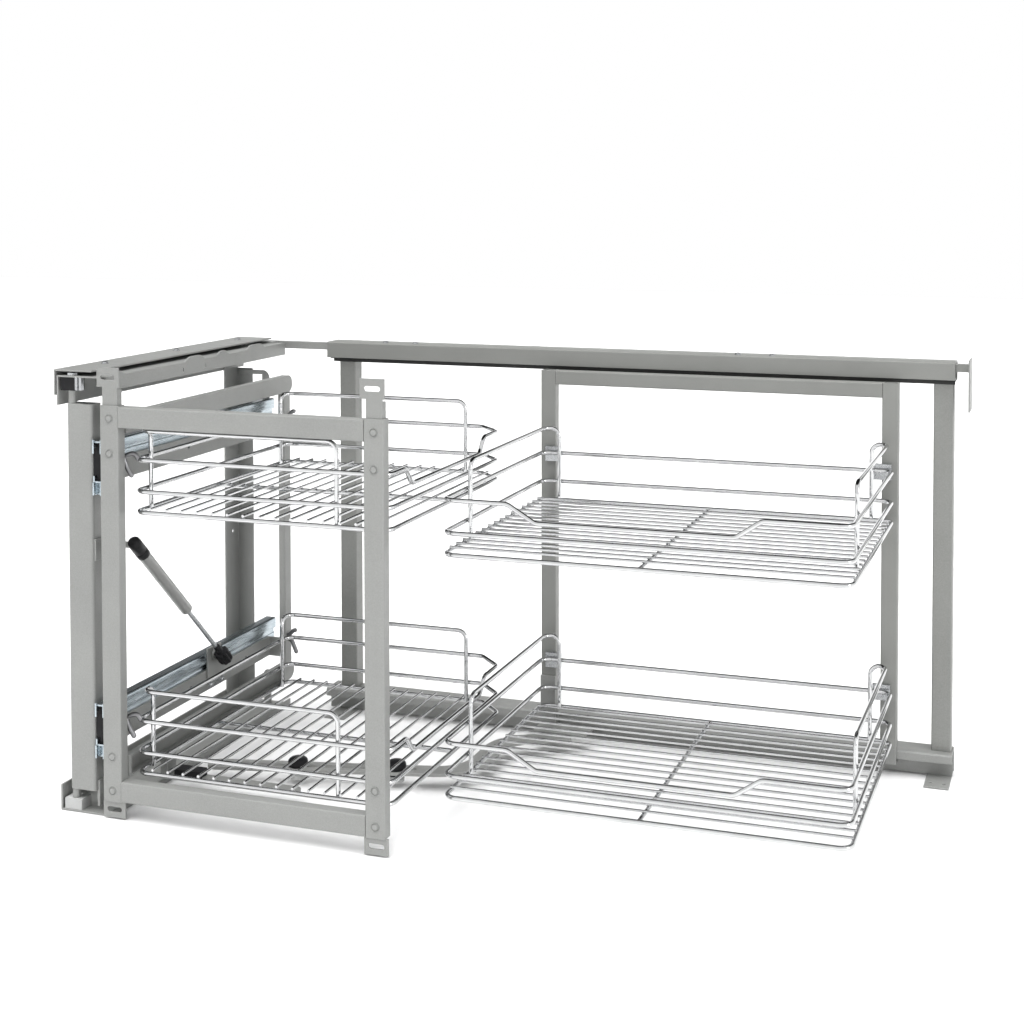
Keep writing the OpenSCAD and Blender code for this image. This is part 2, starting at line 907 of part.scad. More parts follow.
// Slotted strap under the baskets that links the rear carriage to the front unit
module link_strap() {
  k = len(link_path) - 1;
  color("#9b9c98") {
    difference() {
      translate([0, 0, strap_z0])
        linear_extrude(height = strap_z1 - strap_z0)
          union() {
            polygon(concat([for (i = [0 : k]) link_path[i] + 14 * link_side(i)],
              [for (i = [k : -1 : 0]) link_path[i] - 14 * link_side(i)]));
            translate(link_start)
              circle(r = 14);
          }
      translate([link_start[0], link_start[1], strap_z0 - 1])
        rotate([0, 0, link_turn]) {
          translate([14, -5, 0])
            cube([236, 10, 10]);
          for (x = [14, 250])
            translate([x, 0, 0])
              cylinder(h = 10, r = 5);
        }
    }
    bx(hang_x0, hang_x0 + 74, 380, 414, strap_z1 - 1, strap_z1 + 3);
    bx(hang_x0, hang_x0 + 21, 411, 414, strap_z1, 90);
  }
}

// Plastic roller with a domed head on the strap and a wheel below it, held in its slot
module link_roller(c) {
  translate([c[0], c[1], 0]) {
    translate([0, 0, strap_z1 + 0.3])
      cylinder(h = 7, r = 12.5);
    translate([0, 0, strap_z1 + 7.3])
      cylinder(h = 3, r = 10);
    translate([0, 0, strap_z1 + 10.3])
      cylinder(h = 1.2, r = 6);
    translate([0, 0, strap_z0 - 1])
      cylinder(h = strap_z1 - strap_z0 + 2, r = 5 - run_c);
    translate([0, 0, strap_z0 - 3.3])
      cylinder(h = 3, r = 11);
    translate([0, 0, strap_z0 - 12])
      cylinder(h = 9, r = 10.2);
  }
}

module link_roller_left() {
  color("#1d1e20")
    link_roller(roll_a);
}

module link_roller_right() {
  color("#1d1e20")
    link_roller(roll_b);
}

// Everything is shown about the middle of the floor channel
module at_base() {
  translate([-base_cx, -base_cy, 0])
    children();
}

at_base() base_channel();
at_base() base_pivot_block();
at_base() top_cover();
at_base() top_channel();
at_base() top_pivot_block();
at_base() top_pivot_nut();
at_base() rear_corner_post();
at_base() stop_strap_upper();
at_base() stop_strap_lower();
at_base() rear_top_rail();
at_base() rear_bottom_rail();
at_base() rear_post_left();
at_base() rear_post_right();
at_base() rear_feet();
at_base() tie_bar_left();
at_base() tie_bar_right();
at_base() wall_plate();
at_base() frame_screws();
at_base() pivot_post();
at_base() pivot_pins();
at_base() slide_block_upper();
at_base() slide_block_lower();
at_base() strut_bracket_upper();
at_base() stile_left();
at_base() stile_right();
at_base() frame_rail_top();
at_base() frame_rail_bottom();
at_base() door_bracket_upper_left();
at_base() door_bracket_upper_right();
at_base() door_bracket_lower_left();
at_base() door_bracket_lower_right();
at_base() frame_rivets();
at_base() arm_upper();
at_base() arm_lower();
at_base() rear_upright();
at_base() slide_rail_upper();
at_base() slide_rail_lower();
at_base() carrier_plate_upper();
at_base() carrier_plate_lower();
at_base() strut_bracket_lower();
at_base() front_basket_hooks();
at_base() front_basket_upper();
at_base() front_basket_lower();
at_base() catch_arm();
at_base() catch_buffer();
at_base() strut_rod();
at_base() strut_rod_end();
at_base() strut_cylinder();
at_base() strut_cylinder_end();
at_base() hanger_rail();
at_base() hanger_posts();
at_base() hanger_brackets();
at_base() hanger_glides();
at_base() lower_guides();
at_base() rear_basket_hooks();
at_base() rear_basket_upper();
at_base() rear_basket_lower();
at_base() link_strap();
at_base() link_roller_left();
at_base() link_roller_right();
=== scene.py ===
"""Looks for the blind corner pull out: satin grey frame, chrome wire baskets, zinc slides, black plastic."""
import json
import math

import bmesh
import bpy
from mathutils import Matrix, Vector


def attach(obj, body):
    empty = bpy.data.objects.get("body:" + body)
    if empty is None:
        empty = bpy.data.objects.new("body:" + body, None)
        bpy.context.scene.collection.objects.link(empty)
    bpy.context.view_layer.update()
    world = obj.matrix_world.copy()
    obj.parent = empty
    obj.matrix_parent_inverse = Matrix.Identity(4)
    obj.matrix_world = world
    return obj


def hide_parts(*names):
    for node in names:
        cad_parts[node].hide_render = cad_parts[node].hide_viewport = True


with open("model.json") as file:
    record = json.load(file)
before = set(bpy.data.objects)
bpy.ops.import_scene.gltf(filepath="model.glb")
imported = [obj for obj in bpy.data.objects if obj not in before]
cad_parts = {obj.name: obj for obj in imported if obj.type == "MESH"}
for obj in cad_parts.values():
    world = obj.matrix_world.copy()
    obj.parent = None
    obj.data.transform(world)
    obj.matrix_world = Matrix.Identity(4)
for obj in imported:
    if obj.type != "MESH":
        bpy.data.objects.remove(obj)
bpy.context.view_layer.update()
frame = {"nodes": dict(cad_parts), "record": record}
nodes = frame["nodes"]
scene = bpy.context.scene

# Where the front foot of the left stile stands in the row frame, in millimetres
FOOT_X, FOOT_Y = 42.0, -224.0

RIGHT, FORWARD, UP = (1, 0, 0), (0, -1, 0), (0, 0, 1)


def point(x, y, z):
    """A point given in millimetres from the front foot of the left stile, in the row frame in metres."""
    return Vector(((x + FOOT_X) / 1000.0, (y + FOOT_Y) / 1000.0, z / 1000.0))


# Shader helpers

def start_material(name):
    """A new material, its node tree, its shader and its object coordinates."""
    mat = bpy.data.materials.new(name)
    mat.use_nodes = True
    tree = mat.node_tree
    coord = tree.nodes.new("ShaderNodeTexCoord")
    return mat, tree, tree.nodes["Principled BSDF"], coord.outputs["Object"]


def noise(tree, vector, scale, detail=3.0, rough=0.55, stretch=None):
    """Noise from 0 to 1, with its coordinates scaled by stretch where that is given."""
    if stretch is not None:
        mapping = tree.nodes.new("ShaderNodeMapping")
        mapping.inputs["Scale"].default_value = stretch
        tree.links.new(vector, mapping.inputs["Vector"])
        vector = mapping.outputs["Vector"]
    texture = tree.nodes.new("ShaderNodeTexNoise")
    texture.inputs["Scale"].default_value = scale
    texture.inputs["Detail"].default_value = detail
    texture.inputs["Roughness"].default_value = rough
    tree.links.new(vector, texture.inputs["Vector"])
    return texture.outputs["Fac"]


def spread(tree, value, low, high, from_low=0.3, from_high=0.7):
    """value moved from one range to another, and held at its ends."""
    node = tree.nodes.new("ShaderNodeMapRange")
    node.inputs["From Min"].default_value = from_low
    node.inputs["From Max"].default_value = from_high
    node.inputs["To Min"].default_value = low
    node.inputs["To Max"].default_value = high
    tree.links.new(value, node.inputs["Value"])
    return node.outputs["Result"]


def times(tree, value, factor):
    """value multiplied by a number or by another value."""
    node = tree.nodes.new("ShaderNodeMath")
    node.operation = "MULTIPLY"
    tree.links.new(value, node.inputs[0])
    if isinstance(factor, float):
        node.inputs[1].default_value = factor
    else:
        tree.links.new(factor, node.inputs[1])
    return node.outputs["Value"]


def dot(tree, vector, other):
    """The dot product of vector with a fixed direction or with another vector."""
    node = tree.nodes.new("ShaderNodeVectorMath")
    node.operation = "DOT_PRODUCT"
    tree.links.new(vector, node.inputs[0])
    if isinstance(other, tuple):
        node.inputs[1].default_value = other
    else:
        tree.links.new(other, node.inputs[1])
    return node.outputs["Value"]


def mix_colour(tree, factor, a, b):
    """A colour between a and b, each a fixed colour or a value."""
    node = tree.nodes.new("ShaderNodeMix")
    node.data_type = "RGBA"
    tree.links.new(factor, node.inputs["Factor"])
    # 6, 7 and 2 are the Mix node's sockets for colours
    for socket, colour in ((node.inputs[6], a), (node.inputs[7], b)):
        if isinstance(colour, tuple):
            socket.default_value = (*colour, 1.0)
        else:
            tree.links.new(colour, socket)
    return node.outputs[2]


def soft_normal(tree, radius):
    """The normals of the surface with its edges rounded to radius."""
    bevel = tree.nodes.new("ShaderNodeBevel")
    bevel.samples = 4
    bevel.inputs["Radius"].default_value = radius
    return bevel.outputs["Normal"]


def bump(tree, bsdf, height, strength, distance, soft_edge):
    """Bump from height, on edges rounded to soft_edge."""
    node = tree.nodes.new("ShaderNodeBump")
    node.inputs["Strength"].default_value = strength
    node.inputs["Distance"].default_value = distance
    tree.links.new(height, node.inputs["Height"])
    tree.links.new(soft_normal(tree, soft_edge), node.inputs["Normal"])
    tree.links.new(node.outputs["Normal"], bsdf.inputs["Normal"])


def edge_mask(tree, radius):
    """1 along sharp edges and 0 on flat faces."""
    geometry = tree.nodes.new("ShaderNodeNewGeometry")
    flatness = dot(tree, soft_normal(tree, radius), geometry.outputs["Normal"])
    return spread(tree, flatness, 1.0, 0.0, from_low=0.86, from_high=0.99)


# Materials

SPECK_COLOUR = (0.78, 0.79, 0.78)
EDGE_COLOUR = (0.74, 0.75, 0.74)


def paint(name, dark, light, metallic, rough):
    """Powder coat with a fine orange-peel grain, a slow drift of tone and paler edges."""
    mat, tree, bsdf, co = start_material(name)
    drift = noise(tree, co, scale=9.0, detail=4.0)
    grain = noise(tree, co, scale=1400.0, detail=2.0)
    peel = noise(tree, co, scale=420.0, detail=2.0)
    gloss = noise(tree, co, scale=60.0)
    base = mix_colour(tree, spread(tree, drift, 0.0, 1.0), dark, light)
    specked = mix_colour(tree, spread(tree, grain, 0.0, 0.10), base, SPECK_COLOUR)
    worn = times(tree, edge_mask(tree, radius=0.0008), 0.30)
    tree.links.new(mix_colour(tree, worn, specked, EDGE_COLOUR), bsdf.inputs["Base Color"])
    tree.links.new(spread(tree, gloss, rough - 0.05, rough + 0.07), bsdf.inputs["Roughness"])
    bsdf.inputs["Metallic"].default_value = metallic
    bump(tree, bsdf, peel, strength=0.06, distance=0.0004, soft_edge=0.0009)
    return mat


def plated(name, dark, light, rough_low, rough_high, scale, strength, stretch=(1.0, 1.0, 1.0)):
    """Plated metal with fine lines, which stretch draws out along the piece."""
    mat, tree, bsdf, co = start_material(name)
    drift = noise(tree, co, scale=30.0)
    lines = noise(tree, co, scale, rough=0.6, stretch=stretch)
    tree.links.new(mix_colour(tree, spread(tree, drift, 0.0, 1.0), dark, light), bsdf.inputs["Base Color"])
    tree.links.new(spread(tree, lines, rough_low, rough_high), bsdf.inputs["Roughness"])
    bsdf.inputs["Metallic"].default_value = 1.0
    bump(tree, bsdf, lines, strength, distance=0.0002, soft_edge=0.0004)
    return mat


def plastic(name, dark, light, rough, strength):
    """Moulded plastic with a spark-eroded grain."""
    mat, tree, bsdf, co = start_material(name)
    drift = noise(tree, co, scale=45.0)
    grain = noise(tree, co, scale=1100.0, detail=2.0)
    tree.links.new(mix_colour(tree, spread(tree, drift, 0.0, 1.0), dark, light), bsdf.inputs["Base Color"])
    tree.links.new(spread(tree, grain, rough - 0.06, rough + 0.08), bsdf.inputs["Roughness"])
    bsdf.inputs["Specular IOR Level"].default_value = 0.14
    bump(tree, bsdf, grain, strength, distance=0.0003, soft_edge=0.0007)
    return mat


FRAME = paint("frame_paint", dark=(0.214, 0.217, 0.210), light=(0.238, 0.242, 0.233),
              metallic=0.25, rough=0.42)
# A darker copy of the frame paint for the frame at the back: painted shade, where less light reaches
BACK_FRAME_PAINTED_SHADE = paint("back_frame_painted_shade", dark=(0.172, 0.175, 0.165), light=(0.191, 0.195, 0.184),
             metallic=0.25, rough=0.42)
STRUT = paint("strut_body", dark=(0.235, 0.238, 0.232), light=(0.275, 0.278, 0.272),
              metallic=0.45, rough=0.34)
CHROME = plated("chrome_wire", dark=(0.52, 0.525, 0.53), light=(0.60, 0.605, 0.61),
                rough_low=0.045, rough_high=0.12, scale=260.0, strength=0.02)
ZINC = plated("zinc_rail", dark=(0.36, 0.415, 0.45), light=(0.50, 0.555, 0.585),
              rough_low=0.20, rough_high=0.34, scale=520.0, strength=0.05, stretch=(1.0, 0.02, 1.0))
STEEL = plated("bright_steel", dark=(0.38, 0.39, 0.40), light=(0.50, 0.51, 0.52),
               rough_low=0.20, rough_high=0.36, scale=700.0, strength=0.05)
HOOK = plated("hook_steel", dark=(0.17, 0.17, 0.175), light=(0.25, 0.25, 0.255),
              rough_low=0.30, rough_high=0.46, scale=500.0, strength=0.05)
BLACK = plastic("black_plastic", dark=(0.008, 0.008, 0.009), light=(0.016, 0.016, 0.017),
                rough=0.38, strength=0.10)
# Near-black plastic for the track under the rear rail's face: painted shade for the recess there
TRACK_PAINTED_SHADE = plastic("track_painted_shade", dark=(0.030, 0.031, 0.030), light=(0.042, 0.043, 0.042),
                rough=0.45, strength=0.06)
PALE = plastic("pale_plastic", dark=(0.38, 0.385, 0.38), light=(0.45, 0.455, 0.45),
               rough=0.45, strength=0.06)
BY_SLOT = {"frame_paint": FRAME, "chrome_wire": CHROME, "zinc_rail": ZINC, "bright_steel": STEEL,
           "black_plastic": BLACK, "pale_plastic": PALE, "strut_body": STRUT}

# The frame at the back, given the darker copy of the frame paint as painted shade
BACK_FRAME_NODES = ("rear_post_left", "rear_post_right", "hanger_rail", "hanger_posts", "tie_bar_right")

slot_of = {s["node"]: s["material_slot"] for s in frame["record"]["subparts"]}
for name, obj in nodes.items():
    mat = BACK_FRAME_PAINTED_SHADE if name in BACK_FRAME_NODES else BY_SLOT[slot_of[name]]
    if not obj.material_slots:
        obj.data.materials.append(mat)
    for slot in obj.material_slots:
        slot.material = mat


# Mesh helpers

CREASE = math.radians(40)


def add_piece(name, bm, mat, body, replaces=(), creased=False):
    """A smooth piece from bm that rides on body; creased keeps its folds sharp."""
    mesh = bpy.data.meshes.new(name)
    bmesh.ops.recalc_face_normals(bm, faces=bm.faces)
    bm.to_mesh(mesh)
    bm.free()
    for poly in mesh.polygons:
        poly.use_smooth = True
    if creased:
        mesh.set_sharp_from_angle(angle=CREASE)
    obj = bpy.data.objects.new(name, mesh)
    scene.collection.objects.link(obj)
    mesh.materials.append(mat)
    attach(obj, body)
    if replaces:
        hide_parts(*replaces)


def skin(bm, rings):
    """A closed skin over rings that have the same number of points."""
    made = [[bm.verts.new(p) for p in ring] for ring in rings]
    for a, b in zip(made, made[1:]):
        for i in range(len(a)):
            j = (i + 1) % len(a)
            bm.faces.new((a[i], a[j], b[j], b[i]))
    bm.faces.new(list(reversed(made[0])))
    bm.faces.new(made[-1])


def turned(bm, profile, place, steps, lobes=0, depth=0.0):
    """A turned form: profile runs along the local Z axis of place, with flutes between lobes."""
    rings = []
    for radius, height, fluted in profile:
        ring = []
        for i in range(steps):
            a = 2.0 * math.pi * i / steps
            flute = depth * fluted * (0.5 + 0.5 * math.cos(lobes * a)) ** 2
            r = radius * (1.0 - flute)
            ring.append(place @ Vector((r * math.cos(a), r * math.sin(a), height)))
        rings.append(ring)
    skin(bm, rings)


def profile_of(*steps):
    """Radius and height pairs in millimetres, with a third value where flutes act, in metres for turned."""
    return [(s[0] / 1000.0, s[1] / 1000.0, s[2] if len(s) > 2 else 0.0) for s in steps]


def along(origin, axis):
    """A placement whose local Z runs along axis."""
    return Matrix.Translation(origin) @ Vector(axis).to_track_quat("Z", "Y").to_matrix().to_4x4()


def smooth_path(points, parts=8):
    """A Catmull-Rom curve through points."""
    path = []
    for i, (a, b) in enumerate(zip(points, points[1:])):
        before = points[max(i - 1, 0)]
        after = points[min(i + 2, len(points) - 1)]
        for k in range(parts):
            t = k / parts
            bend = (2 * before - 5 * a + 4 * b - after) * t ** 2 + (3 * a - before - 3 * b + after) * t ** 3
            path.append(a + 0.5 * ((b - before) * t + bend))
    return path + [points[-1]]


def wire(bm, points, radius, steps=16):
    """A round wire bent smoothly through points, with domed ends."""
    path = smooth_path(points)
    first = (path[1] - path[0]).normalized()
    last = (path[-1] - path[-2]).normalized()
    domes = [math.radians(a) for a in (75, 50, 25)]
    stations = [(path[0] - first * radius * math.sin(a), radius * math.cos(a)) for a in domes]
    stations += [(p, radius) for p in path]
    stations += [(path[-1] + last * radius * math.sin(a), radius * math.cos(a)) for a in reversed(domes)]
    turn = [2.0 * math.pi * k / steps for k in range(steps)]
    side = first.orthogonal().normalized()
    rings = []
    for i, (centre, r) in enumerate(stations):
        run = (stations[min(i + 1, len(stations) - 1)][0] - stations[max(i - 1, 0)][0]).normalized()
        side = (side - run * side.dot(run)).normalized()
        up = run.cross(side)
        rings.append([centre + side * r * math.cos(a) + up * r * math.sin(a) for a in turn])
    skin(bm, rings)


def arc(cx, cz, rx, rz, start, end, steps=8):
    """Points of an ellipse about (cx, cz), from start to end in degrees."""
    turn = [math.radians(start + (end - start) * i / steps) for i in range(steps + 1)]
    return [(cx + rx * math.cos(a), cz + rz * math.sin(a)) for a in turn]


def soft_box(bm, low, high, edge):
    """A box between two corners with rounded edges."""
    size = high - low
    made = bmesh.ops.create_cube(bm, size=1.0)["verts"]
    for v in made:
        v.co = Vector(low[i] + size[i] * (v.co[i] + 0.5) for i in range(3))
    edges = list({e for v in made for e in v.link_edges})
    bmesh.ops.bevel(bm, geom=edges, offset=edge, segments=3, profile=0.5, affect="EDGES")


def carve(bm, cutter):
    """bm less the cutter."""
    pair = []
    for shape in (bm, cutter):
        mesh = bpy.data.meshes.new("carve")
        bmesh.ops.recalc_face_normals(shape, faces=shape.faces)
        shape.to_mesh(mesh)
        shape.free()
        obj = bpy.data.objects.new("carve", mesh)
        scene.collection.objects.link(obj)
        pair.append(obj)
    cut = pair[0].modifiers.new("cut", "BOOLEAN")
    cut.operation = "DIFFERENCE"
    cut.solver = "EXACT"
    cut.object = pair[1]
    result = bmesh.new()
    result.from_object(pair[0], bpy.context.evaluated_depsgraph_get())
    for obj in pair:
        mesh = obj.data
        bpy.data.objects.remove(obj)
        bpy.data.meshes.remove(mesh)
    return result


# Gas strut: fluted hand knob at the foot, black cap at the head

LOW_EYE, UP_EYE = point(4, 245, 128.5), point(4, 49, 318.5)
STRUT_AXIS = (UP_EYE - LOW_EYE).normalized()
KNOB_MIDDLE, BORE_START = point(5, 245, 128.5), point(-8.5, 245, 128.5)
KNOB = profile_of((7.0, -12.5), (8.8, -11.6, 0.5), (9.7, -9.5, 1), (9.9, -6, 1), (9.9, 5, 1), (9.6, 7.6, 1),
                  (8.9, 9, 0.5), (6.6, 9.8), (5.6, 9.4), (4.9, 9.8), (4.9, 13.5), (4.4, 14.6), (4.4, 20),
                  (3.9, 24))
STUD_BORE = profile_of((4.15, 0), (4.15, 20))
CAP = profile_of((7.4, -22), (8.1, -21.4), (8.1, -13), (7.2, -12.4), (7.2, -11.6), (8.1, -11),
                 (8.1, 5), (7.7, 7.6), (6.6, 9.6), (4.4, 10.9), (2.0, 11.3))

bm = bmesh.new()
turned(bm, KNOB, along(KNOB_MIDDLE, STRUT_AXIS), steps=96, lobes=8, depth=0.24)
bore = bmesh.new()
turned(bore, STUD_BORE, along(BORE_START, RIGHT), steps=32)
add_piece("strut_knob", carve(bm, bore), BLACK, "damper_rod", replaces=("strut_rod_end",))

bm = bmesh.new()
turned(bm, CAP, along(UP_EYE, STRUT_AXIS), steps=56)
add_piece("strut_cap", bm, BLACK, "damper_cylinder", replaces=("strut_cylinder_end",))

# Rivets of the front frame: low heads with a ring groove

RIVET = profile_of((5.3, 0), (5.2, 0.75), (5.0, 0.9), (4.7, 0.8), (4.4, 0.02), (3.9, 0.02), (3.6, 0.8),
                   (3.3, 0.9), (1.2, 0.9))
STILE_MIDDLES = (0.5, 344.5)
RIVET_HEIGHTS = (34, 75, 438, 480)

bm = bmesh.new()
for x in STILE_MIDDLES:
    for z in RIVET_HEIGHTS:
        turned(bm, RIVET, along(point(x, 0, z), FORWARD), steps=36)
add_piece("rivet_heads", bm, FRAME, "front_carriage", replaces=("frame_rivets",))

# Screws of the fixed frame: pan heads with a cross recess, and collars under the cover

SCREW_HEAD = ((2.1, 0), (4.6, 0.02), (4.6, 0.5), (3.7, 0.8), (3.6, 2.0), (3.0, 2.7), (1.6, 2.95))
COLLAR = profile_of((2.12, 0), (3.7, 0), (4.0, 0.3), (4.0, 4.7), (3.7, 5), (2.12, 5))
COLLAR_FOOT = 528
ARM, HALF = 2.3, 0.5
CROSS = [(ARM, HALF), (HALF, HALF), (HALF, ARM), (-HALF, ARM), (-HALF, HALF), (-ARM, HALF),
         (-ARM, -HALF), (-HALF, -HALF), (-HALF, -ARM), (HALF, -ARM), (HALF, -HALF), (ARM, -HALF)]
CROSS_HEIGHTS = (1.4, 4)
# Each screw's X and Y, the face it sits on and the foot of its shank
COVER_SCREWS = [(-58, y, 535, 522) for y in (78, 238, 396)]
RAIL_SCREWS = [(x, 448, 532, 518) for x in (150, 196, 660, 706)]

bm = bmesh.new()
cross = bmesh.new()
for x, y, z, foot in COVER_SCREWS + RAIL_SCREWS:
    turned(bm, profile_of((2.1, foot - z), *SCREW_HEAD), along(point(x, y, z), UP), steps=36)
    skin(cross, [[point(x + a, y + b, z + h) for a, b in CROSS] for h in CROSS_HEIGHTS])
screws = carve(bm, cross)
for x, y, _, _ in COVER_SCREWS:
    turned(screws, COLLAR, along(point(x, y, COLLAR_FOOT), UP), steps=36)
add_piece("screw_heads", screws, STEEL, "fixed_frame", replaces=("frame_screws",))

# Slide rails: rolled section with a round shoulder over a groove, clips at the front end

SLIDE_FEET = {"upper": 401, "lower": 84}
SLIDE_ENDS = (6, 415)
# X and the height over the foot, round the section
SLIDE_SECTION = ([(-26, 8), (-26, 1.5)] + arc(-24.5, 1.5, 1.5, 1.5, 180, 270, 4)
                 + arc(-14.8, 1.8, 1.8, 1.8, 270, 360, 5) + [(-13, 28)]
                 + arc(-13, 31.2, 0.9, 3.2, 270, 90) + arc(-13, 37.2, 2.7, 2.8, 270, 360, 6)
                 + arc(-12.8, 47.5, 2.5, 2.5, 0, 90, 6) + arc(-24.5, 48.5, 1.5, 1.5, 90, 180, 4)
                 + [(-26, 42), (-24, 42), (-24, 48), (-15, 48), (-15, 2), (-24, 2), (-24, 8)])
# Foot and head of the clips over the foot of the slide, and how far back they reach
CLIPS = ((-15, 1, 12), (35, 52, 6.4))
CLIP_WALLS = ((-26, -23.6), (-15.4, -13))
CLIP_FRONT = 4

for place, z in SLIDE_FEET.items():
    bm = bmesh.new()
    skin(bm, [[point(x, y, z + h) for x, h in SLIDE_SECTION] for y in SLIDE_ENDS])
    for foot, head, back in CLIPS:
        for x0, x1 in CLIP_WALLS:
            soft_box(bm, point(x0, CLIP_FRONT, z + foot), point(x1, back, z + head), edge=0.0006)
    # The back of the lower clip
    soft_box(bm, point(-24, 11, z - 15), point(-15, 12, z + 1), edge=0.0004)
    add_piece("slide_section_" + place, bm, ZINC, "front_carriage",
              replaces=("slide_rail_" + place,), creased=True)

# Rear top rail: a folded section whose face stops short of a track along its foot, coloured near black as
# painted shade

RAIL_ENDS = (62, 941)
# Y and Z round the section, up the face, over the top and back through the inside
RAIL_SECTION = ([(439, 509.5), (439, 530)] + arc(441, 530, 2, 2, 180, 90, 5) + arc(473, 530, 2, 2, 90, 0, 5)
                + [(475, 507), (468, 507), (468, 509), (473, 509), (473, 530), (441, 530), (441, 511.5)]
                + [(452, 511.5), (452, 509), (458, 509), (458, 507), (450, 507), (450, 509.5)])
TRACK_LOW, TRACK_HIGH = point(70, 444, 503.7), point(940.5, 450, 509.4)

bm = bmesh.new()
skin(bm, [[point(x, y, z) for y, z in RAIL_SECTION] for x in RAIL_ENDS])
# The rail takes the darker copy of the frame paint, painted shade
add_piece("rear_rail_section", bm, BACK_FRAME_PAINTED_SHADE, "fixed_frame",
          replaces=("rear_top_rail",), creased=True)

bm = bmesh.new()
soft_box(bm, TRACK_LOW, TRACK_HIGH, edge=0.0006)
add_piece("rear_rail_track", bm, TRACK_PAINTED_SHADE, "fixed_frame")

# Two bolts in an oblong washer plate under the foot of the strut

BOLT = profile_of((3.4, 0), (3.5, 0.4), (3.3, 1.2), (2.6, 1.9), (1.7, 2.1), (1.6, 0.6), (0.6, 0.5))
BOLT_HEIGHT = 89
WASHER_RIM = arc(235.6, BOLT_HEIGHT, 4.6, 4.6, 270, 90, 12) + arc(267.4, BOLT_HEIGHT, 4.6, 4.6, 90, -90, 12)
WASHER_BACK, WASHER_FACE = -10, -9.1
BOLT_PLACES = (239, 266)

bm = bmesh.new()
skin(bm, [[point(x, y, z) for y, z in WASHER_RIM] for x in (WASHER_BACK, WASHER_FACE)])
for y in BOLT_PLACES:
    turned(bm, BOLT, along(point(WASHER_FACE, y, BOLT_HEIGHT), RIGHT), steps=32)
add_piece("carrier_bolts", bm, STEEL, "front_carriage", creased=True)

# Bent wire hooks that hold the second rim of the front baskets, each with a finger below

RIM_HEIGHTS = (115, 429)
HOOK_RADIUS = 0.0029
# X, Y and the height over the rim along each wire: front hook, its finger, rear hook, its finger
HOOK_WIRES = (((6, 15.2, -3), (8, 18, 2), (15, 19.2, 6), (22, 20.5, 6.6), (26, 22, 1)),
              ((9, 18, 1), (12, 19, -9), (17.6, 20, -19)),
              ((13, 404, -3), (18, 404, -1), (24, 404, 5), (27, 404, 6)),
              ((14, 405, -6), (21, 405, -10), (24.5, 405, -17), (28, 405, -25)))

bm = bmesh.new()
for z in RIM_HEIGHTS:
    for bends in HOOK_WIRES:
        wire(bm, [point(x, y, z + h) for x, y, h in bends], HOOK_RADIUS)
add_piece("basket_hooks", bm, HOOK, "front_carriage", replaces=("front_basket_hooks",))

# Rollers of the link: black domed heads, pale wheels below the strap

ROLLERS = {"left": (155.01, 172.91), "right": (278.02, 201.08)}
ROLLER_HEAD = profile_of((9.6, 14.72), (10.9, 14.9), (10.95, 17.4), (10.4, 17.68), (5.4, 17.7), (4.93, 17.9),
                         (4.93, 22.2), (11.9, 22.31), (12.5, 22.8), (12.5, 27.6), (12.1, 29.4), (11.0, 31.0),
                         (9.0, 32.3), (6.0, 33.2), (2.5, 33.48))
ROLLER_WHEEL = profile_of((8.6, 6.02), (9.8, 6.5), (10.2, 7.4), (10.2, 11.6), (9.7, 12.0), (9.7, 12.7),
                          (10.2, 13.1), (10.1, 14.3), (9.3, 14.7))

for place, (x, y) in ROLLERS.items():
    body = "roller_" + place
    axle = along(point(x, y, 0), UP)
    bm = bmesh.new()
    turned(bm, ROLLER_HEAD, axle, steps=56)
    add_piece("roller_head_" + place, bm, BLACK, body, replaces=("link_roller_" + place,))
    bm = bmesh.new()
    turned(bm, ROLLER_WHEEL, axle, steps=56)
    add_piece("roller_wheel_" + place, bm, PALE, body)

# Camera, fitted to the straight edges of the frame in the photograph

IMAGE_WIDTH = 1024.0
FOCAL_PIXELS = 1579.3
SHIFT_PIXELS = (-67.5, -272.3)

cam_data = bpy.data.cameras.new("camera")
cam = bpy.data.objects.new("camera", cam_data)
scene.collection.objects.link(cam)
cam.location = (1.1505, -1.8175, 0.7546)
cam.rotation_euler = (math.radians(88.059), 0.0, math.radians(18.138))
cam_data.sensor_width = 36.0
cam_data.lens = FOCAL_PIXELS / IMAGE_WIDTH * cam_data.sensor_width
cam_data.shift_x = SHIFT_PIXELS[0] / IMAGE_WIDTH
cam_data.shift_y = SHIFT_PIXELS[1] / IMAGE_WIDTH
scene.camera = cam

# Floor: pale and matt, with a faint glow

FLOOR_REACH = 9
FLOOR_HEIGHT = -0.0005
FLOOR_COLOUR = (0.72, 0.72, 0.72)


def floor_material():
    mat, tree, bsdf, co = start_material("floor_pale")
    clouded = tuple(c * 0.985 for c in FLOOR_COLOUR)
    tint = mix_colour(tree, noise(tree, co, scale=3.0, detail=2.0), clouded, FLOOR_COLOUR)
    tree.links.new(tint, bsdf.inputs["Base Color"])
    bsdf.inputs["Roughness"].default_value = 0.9
    bsdf.inputs["Specular IOR Level"].default_value = 0.1
    bsdf.inputs["Emission Color"].default_value = (1.0, 1.0, 1.0, 1.0)
    bsdf.inputs["Emission Strength"].default_value = 0.06
    return mat


corners = [(x * FLOOR_REACH, y * FLOOR_REACH, FLOOR_HEIGHT) for x, y in ((-1, -1), (1, -1), (1, 1), (-1, 1))]
floor_mesh = bpy.data.meshes.new("floor")
floor_mesh.from_pydata(corners, [], [(0, 1, 2, 3)])
floor = bpy.data.objects.new("floor", floor_mesh)
scene.collection.objects.link(floor)
floor_mesh.materials.append(floor_material())


# Lights: a wide sun overhead, a soft box at the front left, a tall strip far off to the right

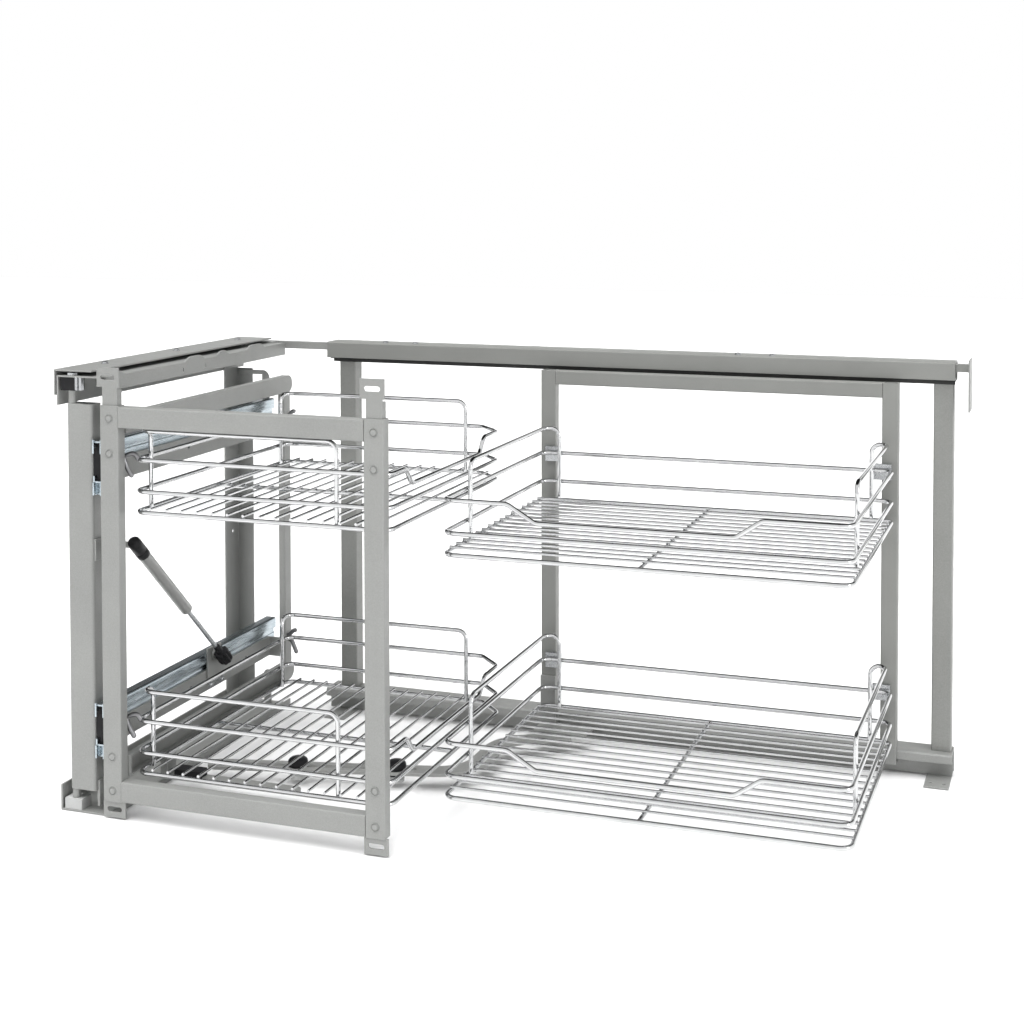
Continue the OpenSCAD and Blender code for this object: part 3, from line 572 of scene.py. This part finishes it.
def add_light(data, power, place, target, mirrored):
    """A light at place that points at target and shows in reflections where mirrored is true."""
    data.energy = power
    obj = bpy.data.objects.new(data.name, data)
    scene.collection.objects.link(obj)
    obj.location = place
    obj.rotation_euler = (Vector(target) - Vector(place)).to_track_quat("-Z", "Y").to_euler()
    obj.visible_glossy = mirrored


def panel(name, width, height):
    data = bpy.data.lights.new(name, "AREA")
    data.shape = "RECTANGLE"
    data.size = width
    data.size_y = height
    return data


sun = bpy.data.lights.new("overhead", "SUN")
sun.angle = math.radians(70.0)
add_light(sun, 6.4, place=(0.2, -0.6, 3.0), target=(0.35, 0.0, 0.0), mirrored=False)
add_light(panel("front_box", 1.2, 0.9), 2.5, place=(-0.3, -1.6, 1.2), target=(0.2, 0.0, 0.25), mirrored=False)
add_light(panel("side_strip", 1.0, 2.2), 60.0, place=(5.0, -1.2, 1.6), target=(0.4, 0.0, 0.25), mirrored=True)

# World: white to the eye; in reflections a bright room with a dark patch of ceiling and a dark left wall

WHITE = (1.0, 1.0, 1.0)
CEILING, LEFT_WALL, SKY = (-0.10, 0.46, 0.88), (-0.86, 0.49, 0.12), (-0.10, 0.64, 0.76)

world = bpy.data.worlds.new("studio")
scene.world = world
world.use_nodes = True
tree = world.node_tree
direction = tree.nodes.new("ShaderNodeTexCoord").outputs["Generated"]
ceiling = spread(tree, dot(tree, direction, CEILING), 1.20, 0.02, from_low=0.62, from_high=0.74)
left_wall = spread(tree, dot(tree, direction, LEFT_WALL), 1.0, 0.04, from_low=0.80, from_high=0.92)
diffuse = spread(tree, dot(tree, direction, SKY), 0.30, 0.03, from_low=0.40, from_high=0.86)
rays = tree.nodes.new("ShaderNodeLightPath")
lit = mix_colour(tree, rays.outputs["Is Diffuse Ray"], times(tree, ceiling, left_wall), diffuse)
seen = mix_colour(tree, rays.outputs["Is Camera Ray"], lit, WHITE)
tree.links.new(seen, tree.nodes["Background"].inputs["Color"])
tree.nodes["Background"].inputs["Strength"].default_value = 1.0
scene.view_settings.view_transform = "Standard"
scene.view_settings.look = "None"
